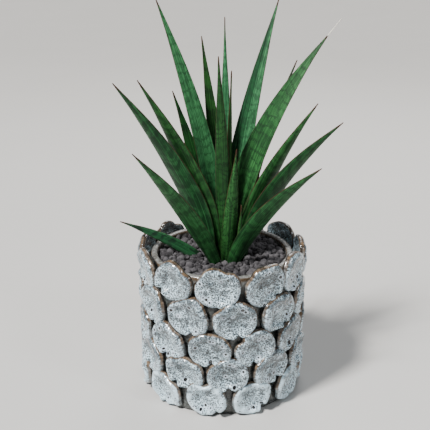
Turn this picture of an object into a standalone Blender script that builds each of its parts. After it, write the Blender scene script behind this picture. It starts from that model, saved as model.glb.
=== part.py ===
"""Snake plant in a glazed stoneware pot clad with clay scales.

Metres, +Z up. The origin is the centre of the pot's underside, +X is the viewer's right and -Y
the viewer's side. Compass angles are in degrees from +X towards +Y, so 270 points at the viewer.
"""

import math
import random
from collections import namedtuple

import bmesh
import bpy
from mathutils import Vector

GAP = 0.0003  # clearance between pieces that rest on or in each other

# Pot body, a turned stoneware cylinder
RIM_HEIGHT = 0.142
RIM_INNER_RADIUS = 0.064
WALL_OUTER_RADIUS = 0.076
RIM_OUTER_RADIUS = 0.0705
RIM_ROUND = 0.002
NECK_HEIGHTS = (0.108, 0.128)  # between these the wall draws in from its full radius to the rim's
FLOOR_THICKNESS = 0.009
FLOOR_FILLET = 0.006
FOOT_CHAMFER = 0.003
POT_SIDES = 40

# Clay scales, pressed on in rings: each leans out at its top and is joined to the wall behind its middle
SCALES_PER_ROW = 11
SCALE_THICKNESS = 0.0065
SCALE_LEAN = 5.0
SCALE_CENTRE_RADIUS = 0.0802
SCALE_EDGE_INSET = 0.0038
SCALE_DISH = 0.0014
SCALE_POINTS = 14
SCALE_BACK_RADIUS = 0.075  # inside the wall, so that no hollow is left behind a scale
SCALE_ROOT_RADIUS = 0.068  # where the middle of its back is buried in the wall
SCALE_LOWEST = 0.0012
SCALE_SQUARENESS = 0.86  # 1 gives an ellipse, less fills out its corners
DENT_DEPTHS = (0.03, 0.10)  # of the dent in a scale's top, as a share of its size
DENT_SPREAD = 0.40
PINCH_DEPTH = 0.10  # of the pinch at its bottom
PINCH_SPREAD = 0.35
SKEW_JITTER = 0.07
COMPASS_JITTER = 1.5
LEAN_JITTER = 3.0
ROLL_JITTER = 9.0
HEIGHT_JITTER = 0.001
# height of the row's middle, size of its scales and the compass angle of its first
ScaleRow = namedtuple("ScaleRow", "height width tall start")
SCALE_ROWS = [
    ScaleRow(0.1335, 0.0450, 0.0420, 266),
    ScaleRow(0.1015, 0.0440, 0.0430, 279),
    ScaleRow(0.0710, 0.0440, 0.0400, 260),
    ScaleRow(0.0445, 0.0430, 0.0385, 274),
    ScaleRow(0.0180, 0.0415, 0.0375, 258),
]
SCALE_SEED = 5

# Soil
SOIL_EDGE_HEIGHT = 0.1355
SOIL_CROWN_RISE = 0.002
SOIL_LUMP = 0.0009
SOIL_SIDES = 40
SOIL_RINGS = 7
SOIL_SEED = 3

# Rhizome, the buried knob that the leaves grow from
CROWN_CENTRE = Vector((0.004, -0.004, 0.0))
RHIZOME_RADIUS = 0.019
RHIZOME_TOP = 0.1237
RHIZOME_HEIGHT = 0.012
RHIZOME_SIDES = 24
HOLLOW_MARGIN = 0.0008  # between the crown's hollow in the soil and the leaves that it holds
CHANNEL_MARGIN = 0.0012  # between the buried leaf and its channel in the soil

# Leaves
LEAF_FOOT_HEIGHT = RHIZOME_TOP + GAP
LEAF_STATIONS = 14
STATION_POWER = 1.1  # above 1 the rings stand closer together near the foot
WIDEST_AT = 0.40
TAPER_POWER = 2.0
LEAF_THICKNESS = 0.0027
THIN_SHARE = 0.35  # of the thickness that is left where the leaf runs out into its awn
LEAF_SHOULDER = 0.58  # share of the half width at which a section's edge begins to round off
FOOT_CHANNEL = 0.30  # depth of the channel over the width, at the foot and up the blade
BLADE_CHANNEL = 0.12
ROOT_STEP = 0.004  # between the rings about the crown on which the leaves stand
LIGHT_TURN = 0.6  # share of the way from its lean to the light, at the front, that a blade turns
TURNED_BY = 0.45  # share of the length over which it turns
HANDLE_AT = 0.38  # share of the way up at which a leaf bends most
AWN_WIDTH = 0.0013  # the dry thread that ends a leaf
# tip: how far to the right and to the back of the crown's centre, and how far above the soil's edge.
# root: the ring about the crown's centre on which the leaf stands, counted outwards, and its compass.
# arch: how far the middle of the leaf's line stands above the straight way from foot to tip.
# foot_share: its width at the foot over its full width. awn: length of the thread at its tip.
# Angles are in degrees, lengths in millimetres.
Leaf = namedtuple("Leaf", "tip root arch width foot_share awn")
MM = 0.001
LEAVES = [
    Leaf(tip=(-66, 25, 247), root=(3, 135), arch=14, width=20, foot_share=0.26, awn=4),
    Leaf(tip=(-100, -40, 180), root=(3, 195), arch=14, width=23, foot_share=0.38, awn=3),
    Leaf(tip=(-80, -25, 180), root=(2, 195), arch=12, width=21, foot_share=0.22, awn=3),
    Leaf(tip=(-52, 30, 160), root=(4, 150), arch=8, width=16, foot_share=0.17, awn=2),
    Leaf(tip=(-24, 45, 210), root=(4, 90), arch=3, width=16, foot_share=0.4, awn=3),
    Leaf(tip=(-8, -18, 200), root=(2, 270), arch=0, width=15, foot_share=0.5, awn=3),
    Leaf(tip=(-2, 25, 230), root=(2, 90), arch=2, width=13, foot_share=0.3, awn=10),
    Leaf(tip=(4, -4, 185), root=(1, 270), arch=0, width=7, foot_share=0.5, awn=3),
    Leaf(tip=(50, 50, 245), root=(3, 75), arch=12, width=19, foot_share=0.32, awn=4),
    Leaf(tip=(104, 10, 230), root=(2, 0), arch=26, width=24, foot_share=0.25, awn=16),
    Leaf(tip=(68, 40, 188), root=(4, 45), arch=10, width=11, foot_share=0.45, awn=3),
    Leaf(tip=(84, -5, 155), root=(3, 345), arch=12, width=20, foot_share=0.28, awn=3),
    Leaf(tip=(104, -30, 143), root=(4, 345), arch=17, width=22, foot_share=0.27, awn=3),
    Leaf(tip=(81, -70, 112), root=(4, 285), arch=12, width=20, foot_share=0.44, awn=3),
    Leaf(tip=(-82, -70, 125), root=(4, 240), arch=8, width=20, foot_share=0.44, awn=4),
    Leaf(tip=(-106, 14, 32), root=(4, 165), arch=5, width=11, foot_share=0.35, awn=2),
    Leaf(tip=(9, -17, 115), root=(3, 270), arch=0, width=15, foot_share=0.5, awn=2),
    Leaf(tip=(14, -16, 60), root=(4, 315), arch=0, width=6, foot_share=0.5, awn=2),
    Leaf(tip=(34, 11, 96), root=(4, 15), arch=0, width=6, foot_share=0.5, awn=2),
]

# Finishes: colour, roughness
GLAZE = ((0.50, 0.52, 0.50), 0.28)
SOIL = ((0.075, 0.062, 0.058), 0.95)
RHIZOME = ((0.45, 0.36, 0.22), 0.7)
LEAF_GREEN = ((0.045, 0.17, 0.06), 0.42)


def compass(degrees):
    """Unit vector in plan at a compass angle."""
    angle = math.radians(degrees)
    return Vector((math.cos(angle), math.sin(angle), 0.0))


def smooth(share):
    """Eases 0..1, flat at both ends."""
    share = min(max(share, 0.0), 1.0)
    return share * share * (3.0 - 2.0 * share)


def material(name, colour, roughness):
    made = bpy.data.materials.new(name)
    made.use_nodes = True
    shader = made.node_tree.nodes["Principled BSDF"]
    shader.inputs["Base Color"].default_value = (*colour, 1.0)
    shader.inputs["Roughness"].default_value = roughness
    shader.inputs["Metallic"].default_value = 0.0
    return made


def object_from(name, bm, finish=None):
    """Puts a bmesh into a new object, its faces pointing out and shaded smooth between sharp edges."""
    bmesh.ops.recalc_face_normals(bm, faces=bm.faces)
    mesh = bpy.data.meshes.new(name)
    bm.to_mesh(mesh)
    bm.free()
    mesh.shade_smooth()
    mesh.set_sharp_from_angle(angle=math.radians(40))
    if finish:
        mesh.materials.append(finish)
    made = bpy.data.objects.new(name, mesh)
    bpy.context.scene.collection.objects.link(made)
    return made


def as_guide(obj):
    """A cutter or a shape that only feeds a Boolean."""
    obj.hide_render = True
    obj.display_type = "WIRE"
    return obj


def boolean(target, operation, obj=None, collection=None):
    modifier = target.modifiers.new(operation.lower(), "BOOLEAN")
    modifier.operation = operation
    modifier.solver = "EXACT"
    if collection:
        modifier.operand_type = "COLLECTION"
        modifier.collection = collection
        modifier.use_self = True
    else:
        modifier.object = obj


def bridge(bm, lower, upper):
    """Quads between two rings of the same count."""
    count = len(lower)
    for i in range(count):
        j = (i + 1) % count
        bm.faces.new((lower[i], lower[j], upper[j], upper[i]))


def fan(bm, ring, middle):
    """Triangles from a ring to one vertex."""
    for i, vert in enumerate(ring):
        bm.faces.new((vert, ring[(i + 1) % len(ring)], middle))


def turned(name, profile, sides, finish):
    """A closed solid turned about Z from a profile of (radius, height) that starts and ends on the axis."""
    bm = bmesh.new()
    first = bm.verts.new((0.0, 0.0, profile[0][1]))
    last = bm.verts.new((0.0, 0.0, profile[-1][1]))
    rings = []
    for radius, height in profile[1:-1]:
        points = [compass(360.0 * i / sides) * radius for i in range(sides)]
        rings.append([bm.verts.new((point.x, point.y, height)) for point in points])
    for lower, upper in zip(rings, rings[1:]):
        bridge(bm, lower, upper)
    fan(bm, rings[0], first)
    fan(bm, rings[-1], last)
    return object_from(name, bm, finish)


def pot_body(finish):
    """Wall, floor and rolled rim in one turned piece."""
    lip = RIM_HEIGHT - RIM_ROUND
    profile = [
        (0.0, 0.0),
        (WALL_OUTER_RADIUS - FOOT_CHAMFER, 0.0),
        (WALL_OUTER_RADIUS, FOOT_CHAMFER),
        (WALL_OUTER_RADIUS, NECK_HEIGHTS[0]),
        (RIM_OUTER_RADIUS, NECK_HEIGHTS[1]),
        (RIM_OUTER_RADIUS, lip),
        (RIM_OUTER_RADIUS - RIM_ROUND * 0.8, RIM_HEIGHT),
        (RIM_INNER_RADIUS + RIM_ROUND * 0.8, RIM_HEIGHT),
        (RIM_INNER_RADIUS, lip),
        (RIM_INNER_RADIUS, FLOOR_THICKNESS + FLOOR_FILLET),
        (RIM_INNER_RADIUS - FLOOR_FILLET, FLOOR_THICKNESS),
        (0.0, FLOOR_THICKNESS),
    ]
    return turned("pot", profile, POT_SIDES, finish)


def scale_outline(row, rng):
    """Outline of one scale, an oyster shape: wide and round, dented at the top and pinched at the bottom."""
    dent_at = math.radians(rng.uniform(40, 140))
    dent = rng.uniform(*DENT_DEPTHS)
    pinch_at = math.radians(270 + rng.uniform(-16, 16))
    skew = rng.uniform(-SKEW_JITTER, SKEW_JITTER)

    def rounded(part):
        return math.copysign(abs(part) ** SCALE_SQUARENESS, part) / 2

    points = []
    for i in range(SCALE_POINTS):
        angle = 2 * math.pi * i / SCALE_POINTS
        across, up = rounded(math.cos(angle)) * row.width, rounded(math.sin(angle)) * row.tall
        reach = 1.0
        for at, depth, spread in ((dent_at, dent, DENT_SPREAD), (pinch_at, PINCH_DEPTH, PINCH_SPREAD)):
            away = math.remainder(angle - at, 2 * math.pi)
            reach -= depth * math.exp(-((away / spread) ** 2))
        points.append((across * reach + up * skew, up * reach))
    return points


def clay_scale(row, index, rng):
    """One closed scale: a dished face, a rounded edge and a flat back, leaning out at its top."""
    angle = row.start + 360.0 * index / SCALES_PER_ROW + rng.uniform(-COMPASS_JITTER, COMPASS_JITTER)
    out, side = compass(angle), compass(angle + 90.0)
    lean = math.radians(SCALE_LEAN + rng.uniform(-LEAN_JITTER, LEAN_JITTER))
    up = Vector((0, 0, math.cos(lean))) + out * math.sin(lean)
    face = out * math.cos(lean) - Vector((0, 0, math.sin(lean)))
    roll = math.radians(rng.uniform(-ROLL_JITTER, ROLL_JITTER))
    side, up = side * math.cos(roll) + up * math.sin(roll), up * math.cos(roll) - side * math.sin(roll)
    height = row.height + rng.uniform(-HEIGHT_JITTER, HEIGHT_JITTER)
    centre = out * SCALE_CENTRE_RADIUS + Vector((0, 0, height))
    outline = scale_outline(row, rng)
    bm = bmesh.new()

    def ring(shrink, depth, radius=None):
        verts = []
        for across, upward in outline:
            reach = math.hypot(across, upward)
            inward = (reach - shrink) / reach
            # the scale follows the pot's round wall
            drop = (across * inward) ** 2 / (2 * SCALE_CENTRE_RADIUS)
            at = centre + side * across * inward + up * upward * inward + face * (depth - drop)
            pull = radius / math.hypot(at.x, at.y) if radius else 1.0
            verts.append(bm.verts.new((at.x * pull, at.y * pull, max(at.z, SCALE_LOWEST))))
        return verts

    half = SCALE_THICKNESS / 2
    back = ring(0.0, -half, SCALE_BACK_RADIUS)
    edge = ring(0.0, 0.0)
    front = ring(SCALE_EDGE_INSET, half)
    bridge(bm, back, edge)
    bridge(bm, edge, front)
    fan(bm, back, bm.verts.new(out * SCALE_ROOT_RADIUS + Vector((0, 0, height))))
    fan(bm, front, bm.verts.new(centre + face * (half - SCALE_DISH)))
    return object_from("scale", bm)


def make_pot(finish):
    """The pot and its scales are fired together, so they are one solid."""
    pot = pot_body(finish)
    scales = bpy.data.collections.new("scales")
    bpy.context.scene.collection.children.link(scales)
    rng = random.Random(SCALE_SEED)
    for row in SCALE_ROWS:
        for index in range(SCALES_PER_ROW):
            scale = as_guide(clay_scale(row, index, rng))
            bpy.context.scene.collection.objects.unlink(scale)
            scales.objects.link(scale)
    boolean(pot, "UNION", collection=scales)
    return pot


def make_rhizome(finish):
    """A squat knob with a level top, on which the leaves' feet stand."""
    bottom = RHIZOME_TOP - RHIZOME_HEIGHT
    profile = [
        (0.0, bottom),
        (RHIZOME_RADIUS * 0.62, bottom),
        (RHIZOME_RADIUS * 0.92, bottom + RHIZOME_HEIGHT * 0.3),
        (RHIZOME_RADIUS, bottom + RHIZOME_HEIGHT * 0.65),
        (RHIZOME_RADIUS * 0.96, RHIZOME_TOP),
        (0.0, RHIZOME_TOP),
    ]
    rhizome = turned("rhizome", profile, RHIZOME_SIDES, finish)
    rhizome.location = CROWN_CENTRE
    return rhizome


def make_soil(finish):
    """Fills the pot up to a lumpy surface."""
    rng = random.Random(SOIL_SEED)
    outer = RIM_INNER_RADIUS - GAP
    bottom = FLOOR_THICKNESS + GAP
    bm = bmesh.new()

    def ring(radius, height, lump=0.0, centre=Vector()):
        verts = []
        for i in range(SOIL_SIDES):
            at = centre + compass(360.0 * i / SOIL_SIDES) * radius
            verts.append(bm.verts.new((at.x, at.y, height + rng.uniform(-lump, lump))))
        return verts

    rings = [
        ring(outer - FLOOR_FILLET, bottom),
        ring(outer, bottom + FLOOR_FILLET),
        ring(outer, SOIL_EDGE_HEIGHT),
    ]
    for step in range(1, SOIL_RINGS):
        share = step / SOIL_RINGS
        height = SOIL_EDGE_HEIGHT + SOIL_CROWN_RISE * share
        rings.append(ring(outer * (1 - share), height, SOIL_LUMP, CROWN_CENTRE * share))
    for lower, upper in zip(rings, rings[1:]):
        bridge(bm, lower, upper)
    fan(bm, rings[0], bm.verts.new((0, 0, bottom)))
    fan(bm, rings[-1], bm.verts.new(CROWN_CENTRE + Vector((0, 0, SOIL_EDGE_HEIGHT + SOIL_CROWN_RISE))))
    return object_from("soil", bm, finish)


def crown_hollow(leaves, buried):
    """The hollow in the soil that the rhizome and the leaves' feet fill, as a convex cutter.

    Of the buried leaf, which runs on through the soil by itself, it takes in the foot alone.
    """
    bm = bmesh.new()
    top = SOIL_EDGE_HEIGHT + SOIL_CROWN_RISE + SOIL_LUMP * 2
    for leaf in leaves:
        rings, _ = leaf_rings(leaf, HOLLOW_MARGIN)
        if leaf == buried:
            rings = rings[:2]
        for point in rings[0]:
            bm.verts.new(point - Vector((0, 0, GAP)))
        for lower, upper in zip(rings, rings[1:]):
            for low, high in zip(lower, upper):
                if low.z < top:
                    # up to the height of the soil's top, and no further
                    share = min(1.0, (top - low.z) / max(high.z - low.z, 1e-9))
                    bm.verts.new(low + (high - low) * share)
    for height in (RHIZOME_TOP + GAP, RHIZOME_TOP - RHIZOME_HEIGHT - GAP):
        for i in range(RHIZOME_SIDES):
            at = CROWN_CENTRE + compass(360.0 * i / RHIZOME_SIDES) * (RHIZOME_RADIUS + GAP)
            bm.verts.new((at.x, at.y, height))
    hull = bmesh.ops.convex_hull(bm, input=bm.verts)
    unused = {item for key in ("geom_interior", "geom_unused") for item in hull[key]}
    inner = [item for item in unused if isinstance(item, bmesh.types.BMVert)]
    bmesh.ops.delete(bm, geom=inner, context="VERTS")
    return as_guide(object_from("crown_hollow", bm))


def blade_share(share, foot_share):
    """Share of the full width at a share of the blade's length."""
    if share < WIDEST_AT:
        return foot_share + (1 - foot_share) * math.sin(math.pi / 2 * share / WIDEST_AT)
    return 1 - ((share - WIDEST_AT) / (1 - WIDEST_AT)) ** TAPER_POWER


def leaf_section(leaf, share, blade, grow):
    """A channelled section as (across, outward) pairs, from one margin round to the other and back."""
    half = max(leaf.width * MM * blade_share(share / blade, leaf.foot_share), AWN_WIDTH) / 2
    full = min(1.0, half / (leaf.width * MM * 0.4))
    thick = LEAF_THICKNESS * (THIN_SHARE + (1 - THIN_SHARE) * full) / 2 + grow
    channel = (FOOT_CHANNEL + (BLADE_CHANNEL - FOOT_CHANNEL) * smooth(share / TURNED_BY)) * half * 2

    def at(across, side):
        bulge = channel * (1 - across**2)
        return across * (half + grow), bulge - channel / 2 + side * thick * (1 - across**2) ** 0.7

    inner = LEAF_SHOULDER
    outer_face = [at(-1, 0), at(-inner, 1), at(0, 1), at(inner, 1)]
    inner_face = [at(1, 0), at(inner, -1), at(0, -1), at(-inner, -1)]
    return outer_face + inner_face


def leaf_line(leaf):
    """Foot, handle and tip of the parabola that a leaf's centre line follows."""
    ring, rooted = leaf.root
    foot = CROWN_CENTRE + compass(rooted) * ring * ROOT_STEP + Vector((0, 0, LEAF_FOOT_HEIGHT))
    right, back, up = leaf.tip
    tip = CROWN_CENTRE + Vector((right * MM, back * MM, SOIL_EDGE_HEIGHT + up * MM))
    onward = (tip - foot).normalized()
    square = (Vector((0, 0, 1)) - onward * onward.z).normalized()
    # the line's middle stands half as far from the straight way as its handle does
    return foot, foot.lerp(tip, HANDLE_AT) + square * leaf.arch * MM * 2, tip


def turn_to_light(leaf):
    """Angle that a leaf turns through, from facing away from the crown to its final facing."""
    lean = math.atan2(leaf.tip[1], leaf.tip[0])
    # the broad side faces the light or the shade, whichever is nearer to the leaf's lean
    broadside = math.copysign(math.pi / 2, lean)
    facing = lean + (broadside - lean) * LIGHT_TURN
    return math.remainder(facing - math.radians(leaf.root[1]), 2 * math.pi)


def leaf_rings(leaf, grow=0.0):
    """Rings of points up a leaf, the first cut level to stand on the rhizome, and the tip."""
    foot, handle, tip = leaf_line(leaf)
    blade = 1 - leaf.awn * MM / (tip - foot).length
    rooted, turn = leaf.root[1], turn_to_light(leaf)
    rings = []
    for station in range(LEAF_STATIONS):
        share = blade * (station / (LEAF_STATIONS - 1)) ** STATION_POWER
        before, after = foot.lerp(handle, share), handle.lerp(tip, share)
        point, onward = before.lerp(after, share), (after - before).normalized()
        outward = compass(rooted + math.degrees(turn) * smooth(share / TURNED_BY))
        away = (outward - onward * onward.dot(outward)).normalized()
        across = onward.cross(away)
        ring = [point + across * x + away * y for x, y in leaf_section(leaf, share, blade, grow)]
        if station == 0:
            ring = [at - onward * (at.z - point.z) / onward.z for at in ring]
        rings.append(ring)
    return rings, tip


def leaf_solid(name, leaf, finish=None, grow=0.0):
    """A stiff, channelled leaf that tapers to a dry thread."""
    bm = bmesh.new()
    points, tip = leaf_rings(leaf, grow)
    rings = [[bm.verts.new(point) for point in ring] for ring in points]
    for lower, upper in zip(rings, rings[1:]):
        bridge(bm, lower, upper)
    bm.faces.new(rings[0])
    fan(bm, rings[-1], bm.verts.new(tip))
    return object_from(name, bm, finish)


def main():
    for obj in list(bpy.data.objects):
        bpy.data.objects.remove(obj, do_unlink=True)
    make_pot(material("glazed_stoneware", *GLAZE))
    make_rhizome(material("rhizome", *RHIZOME))
    green = material("leaf", *LEAF_GREEN)
    for number, leaf in enumerate(LEAVES, start=1):
        leaf_solid(f"leaf_{number:02d}", leaf, green)
    soil = make_soil(material("soil", *SOIL))
    buried = min(LEAVES, key=lambda leaf: leaf.tip[2])
    boolean(soil, "DIFFERENCE", crown_hollow(LEAVES, buried))
    boolean(soil, "DIFFERENCE", as_guide(leaf_solid("leaf_channel", buried, grow=CHANNEL_MARGIN)))


main()
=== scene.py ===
"""Looks of the potted snake plant: banded leaves, crumbly soil and a speckled, scale-clad pot.

Metres, in the row frame: +Z up, the origin at the centre of the pot's underside, -Y towards the viewer.
"""

import math
import random
from collections import namedtuple

import bmesh
import bpy
import numpy as np
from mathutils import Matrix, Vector, noise

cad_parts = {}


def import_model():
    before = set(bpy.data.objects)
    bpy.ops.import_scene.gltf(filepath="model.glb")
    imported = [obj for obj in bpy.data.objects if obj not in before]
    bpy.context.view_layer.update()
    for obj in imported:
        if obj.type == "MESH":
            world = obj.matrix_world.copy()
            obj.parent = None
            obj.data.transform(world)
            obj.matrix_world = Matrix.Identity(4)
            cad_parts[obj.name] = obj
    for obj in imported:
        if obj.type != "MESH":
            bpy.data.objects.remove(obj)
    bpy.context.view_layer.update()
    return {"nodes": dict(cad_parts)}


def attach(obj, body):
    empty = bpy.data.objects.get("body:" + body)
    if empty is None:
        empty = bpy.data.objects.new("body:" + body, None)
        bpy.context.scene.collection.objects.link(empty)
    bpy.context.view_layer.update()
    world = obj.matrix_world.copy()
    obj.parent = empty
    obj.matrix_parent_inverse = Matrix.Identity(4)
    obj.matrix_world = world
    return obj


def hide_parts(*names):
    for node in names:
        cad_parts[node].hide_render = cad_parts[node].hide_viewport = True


MM = 0.001

# Pot wall and scales, as the CAD part builds them
RIM_HEIGHT = 0.142
RIM_INNER_RADIUS = 0.064
RIM_OUTER_RADIUS = 0.0705
WALL_OUTER_RADIUS = 0.076
FLOOR_THICKNESS = 0.009
SCALES_PER_ROW = 11
SCALE_LEAN = 5.0  # degrees
SCALE_CENTRE_RADIUS = 0.0802
SCALE_LOWEST = 0.0012
SCALE_SEED = 5
# height of the row's middle, width and height of its scales, and the compass angle of its first
SCALE_ROWS = [
    (0.1335, 0.0450, 0.0420, 266),
    (0.1015, 0.0440, 0.0430, 279),
    (0.0710, 0.0440, 0.0400, 260),
    (0.0445, 0.0430, 0.0385, 274),
    (0.0180, 0.0415, 0.0375, 258),
]

# The looks of the pot: points round a scale and round the wall, where a scale ends inside the wall,
# the bend of a scale from top to bottom, the rounding of the lip, and the grid of specks and of pinholes
SCALE_AROUND = 112
WALL_SIDES = 160
SCALE_ROOT_RADIUS = 0.068
SCALE_BEND = 0.060
LIP_ROUND = 0.0022
SPECK_SPACING = 0.0016
PINHOLE_SPACING = 0.0042

# Leaves: rings along a blade, points round it, rings in the thread at its tip, the least half width,
# the half thickness kept up to the margin and the height of the ridges along the faces
LEAF_COUNT = 19
STATIONS = 110
AROUND = 30
AWN_STEPS = 10
LEAST_HALF_WIDTH = 0.0006
BEAD = 0.00022
RIPPLE = 0.00008

# Soil
SOIL_TOP = 0.1365
SOIL_SEED = 21
BED_SIDES = 120
BED_RINGS = 26
CRUMB_TRIES = 9000

# The room: half the floor's side, and the world's strength at the horizon and overhead, with the height
# of the view direction by which it has changed from one to the other
FLOOR_HALF = 15.0
ROOM_LOW, ROOM_HIGH, ROOM_RISE = 0.62, 0.18, 0.14

# Sun: strength, width in degrees, direction and colour
SUN = (6.0, 9.0, (0.55, 0.45, -1.0), (1.0, 0.985, 0.96))
# Round lamps: place, diameter, power and colour
LAMPS = {
    "window": ((-0.9, -0.75, 1.35), 0.20, 11.0, (0.88, 0.94, 1.0)),
    "fill": ((1.1, -0.8, 1.2), 0.25, 6.5, (0.90, 0.95, 1.0)),
    "back": ((0.3, 1.1, 1.3), 0.80, 10.0, (1.0, 1.0, 1.0)),
}
LIT_MIDDLE = Vector((0.0, 0.0, 0.18))

# The view: down on the middle of the plant from arm's length
VIEW_MIDDLE = Vector((-0.007, 0.0, 0.178))
VIEW_DISTANCE = 0.75
VIEW_DOWN = 20.0  # degrees
VIEW_LENS, VIEW_SENSOR = 64.0, 36.0  # millimetres


# ---------------------------------------------------------------- meshes


class Shell:
    """Collects closed meshes and their point attributes, to be made into one object."""

    def __init__(self):
        self.points, self.faces, self.data, self.count = [], [], {}, 0

    def add(self, points, faces, **data):
        points = np.asarray(points, float).reshape(-1, 3)
        self.points.append(points)
        self.faces += [tuple(int(i) + self.count for i in face) for face in faces]
        self.count += len(points)
        for name, values in data.items():
            values = np.asarray(values, float)
            if values.ndim == 1 and len(values) == 3 and len(points) != 3:
                values = np.tile(values, (len(points), 1))
            self.data.setdefault(name, []).append(values)

    def build(self, name, finish, slot, *nodes):
        mesh = bpy.data.meshes.new(name)
        mesh.from_pydata(np.vstack(self.points).tolist(), [], self.faces)
        for key, values in self.data.items():
            values = np.concatenate(values)
            kind, field = ("FLOAT_VECTOR", "vector") if values.ndim == 2 else ("FLOAT", "value")
            made = mesh.attributes.new(key, kind, "POINT")
            made.data.foreach_set(field, values.astype(np.float32).ravel())
        mesh.shade_smooth()
        mesh.materials.append(finish)
        obj = bpy.data.objects.new(name, mesh)
        bpy.context.scene.collection.objects.link(obj)
        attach(obj, "root")
        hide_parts(*nodes)


def tube_faces(rings, around):
    """Quads between rings of points, and fans to the two points that follow them: each end's middle."""
    faces = []
    for r in range(rings - 1):
        a, b = r * around, (r + 1) * around
        for i in range(around):
            j = (i + 1) % around
            faces.append((a + i, a + j, b + j, b + i))
    first, top = rings * around, (rings - 1) * around
    faces += [(first, (i + 1) % around, i) for i in range(around)]
    faces += [(first + 1, top + i, top + (i + 1) % around) for i in range(around)]
    return faces


def spline(values, at):
    """Catmull-Rom through rows of values, read at positions counted in rows."""
    values = np.asarray(values, float)
    last = len(values) - 1
    at = np.clip(np.asarray(at, float), 0, last)
    i = np.minimum(at.astype(int), last - 1)
    t = at - i
    if values.ndim > 1:
        t = t[:, None]
    p0, p1 = values[np.maximum(i - 1, 0)], values[i]
    p2, p3 = values[i + 1], values[np.minimum(i + 2, last)]
    return 0.5 * (
        2 * p1 + (p2 - p0) * t + (2 * p0 - 5 * p1 + 4 * p2 - p3) * t**2 + (3 * p1 - p0 - 3 * p2 + p3) * t**3
    )


def unit(rows):
    return rows / np.linalg.norm(rows, axis=-1, keepdims=True)


def bell(value, wide):
    return np.exp(-((value / wide) ** 2))


def compass(degrees):
    angle = math.radians(degrees)
    return Vector((math.cos(angle), math.sin(angle), 0.0))


def lumps(points, size, seed):
    """Smooth noise from -1 to 1 at each point."""
    shift = Vector((seed * 1.7, seed * 3.1, seed * 0.9))
    return np.array([noise.noise(Vector(p) / size + shift) for p in points])


# ---------------------------------------------------------------- materials


class Finish:
    """A node material written as a chain of calls."""

    def __init__(self, name):
        self.material = bpy.data.materials.new(name)
        self.material.use_nodes = True
        self.tree = self.material.node_tree
        self.shader = self.tree.nodes["Principled BSDF"]

    def node(self, kind, inputs=(), out=0, **settings):
        made = self.tree.nodes.new("ShaderNode" + kind)
        for key, value in settings.items():
            setattr(made, key, value)
        for key, value in dict(inputs).items():
            self.put(made.inputs[key], value)
        return made.outputs[out]

    def put(self, socket, value):
        """Links the socket to another node's output, or gives it a plain value."""
        if isinstance(value, bpy.types.NodeSocket):
            self.tree.links.new(value, socket)
        elif hasattr(value, "__len__") and len(value) == 3 and socket.type == "RGBA":
            socket.default_value = (*value, 1.0)
        else:
            socket.default_value = value

    def set(self, **sockets):
        """Sets the shader's sockets, with _ for each space in their names."""
        for key, value in sockets.items():
            self.put(self.shader.inputs[key.replace("_", " ")], value)

    def position(self):
        return self.node("TexCoord", out="Object")

    def attribute(self, name):
        return self.node("Attribute", out="Vector", attribute_name=name)

    def number(self, name):
        return self.node("Attribute", out="Fac", attribute_name=name)

    def split(self, vector, part):
        return self.node("SeparateXYZ", {0: vector}, "XYZ".index(part))

    def vector(self, x, y, z=0.0):
        return self.node("CombineXYZ", {0: x, 1: y, 2: z})

    def math(self, operation, a, b=0.0):
        return self.node("Math", {0: a, 1: b}, operation=operation)

    def add(self, a, b):
        return self.math("ADD", a, b)

    def mul(self, a, b):
        return self.math("MULTIPLY", a, b)

    def ease(self, value, low, high, to_low=0.0, to_high=1.0):
        """value taken smoothly from low..high to to_low..to_high; low may be above high."""
        if low > high:
            low, high, to_low, to_high = high, low, to_high, to_low
        inputs = {"Value": value, "From Min": low, "From Max": high, "To Min": to_low, "To Max": to_high}
        return self.node("MapRange", inputs, interpolation_type="SMOOTHSTEP")

    def mix(self, share, a, b):
        # 6, 7 and the output 2 are the colour sockets
        return self.node("Mix", {0: share, 6: a, 7: b}, 2, data_type="RGBA")

    def noise(self, vector, size, detail=2.0, rough=0.5):
        inputs = {"Vector": vector, "Scale": 1 / size, "Detail": detail, "Roughness": rough}
        return self.node("TexNoise", inputs)

    def cells(self, vector, size, part="Distance"):
        """Flat cells: how far the nearest cell's point is, or each cell's own random colour."""
        return self.node("TexVoronoi", {"Vector": vector, "Scale": 1 / size}, part, voronoi_dimensions="2D")

    def bump(self, height, depth, strength=1.0):
        return self.node("Bump", {"Height": height, "Distance": depth, "Strength": strength})


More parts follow.
